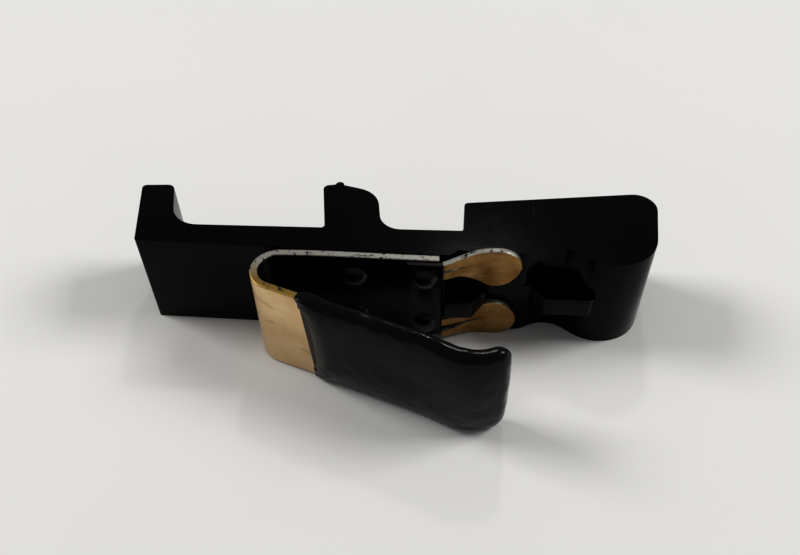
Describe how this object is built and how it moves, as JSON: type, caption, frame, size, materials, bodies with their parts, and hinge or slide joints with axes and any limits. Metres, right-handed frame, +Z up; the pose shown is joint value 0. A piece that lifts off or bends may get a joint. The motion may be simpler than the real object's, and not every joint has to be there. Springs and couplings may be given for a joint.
{
  "type": "spring clip ligature",
  "caption": "Moulded plastic bracket with two fingers and a head, and a vinyl-dipped hairpin spring lever riveted to its wall beside a two-pronged leaf.",
  "frame": {"origin": "centre of the footprint on the resting face", "axes": "+X along the wall towards the head, +Y from the lever towards the fingers, +Z up across the strip's width"},
  "size_m": [0.0606, 0.0266, 0.0135],
  "materials": {
    "bracket_plastic": "moulded gloss black",
    "blackened_strip": "black lacquer worn to metal at the edges",
    "strip_brass": "satin, lightly stained",
    "leaf_brass": "satin, tarnished",
    "vinyl": "dipped vinyl, semi-gloss",
    "rivet_black": "gloss black"
  },
  "bodies": {
    "root": {"body_lower_half": "bracket_plastic", "body_upper_half": "bracket_plastic", "back_arm": "blackened_strip", "spring_bend": "strip_brass", "fork_root": "blackened_strip", "arm_rivets": "rivet_black", "fork_rivets": "rivet_black"},
    "lever": {"lever_arm": "strip_brass", "lever_sleeve": "vinyl"},
    "prong_top": {"upper_prong": "leaf_brass"},
    "prong_bottom": {"lower_prong": "leaf_brass"}
  },
  "joints": [
    {"name": "lever_squeeze", "type": "hinge", "parent": "root", "child": "lever", "pos_m": [-0.01164, -0.00149, 0.00635], "axis": [0, 0, 1], "range_deg": [-8, 15], "stiffness_Nm_per_rad": 0.06, "deforming": ["spring_bend"]},
    {"name": "top_prong_flex", "type": "hinge", "parent": "root", "child": "prong_top", "pos_m": [0.00613, 0.00055, 0.01175], "axis": [0, 0, 1], "range_deg": [-10, 0], "stiffness_Nm_per_rad": 0.0008},
    {"name": "bottom_prong_flex", "type": "hinge", "parent": "root", "child": "prong_bottom", "pos_m": [0.00613, 0.00055, 0.0017], "axis": [0, 0, 1], "range_deg": [-10, 0], "stiffness_Nm_per_rad": 0.0008}
  ]
}
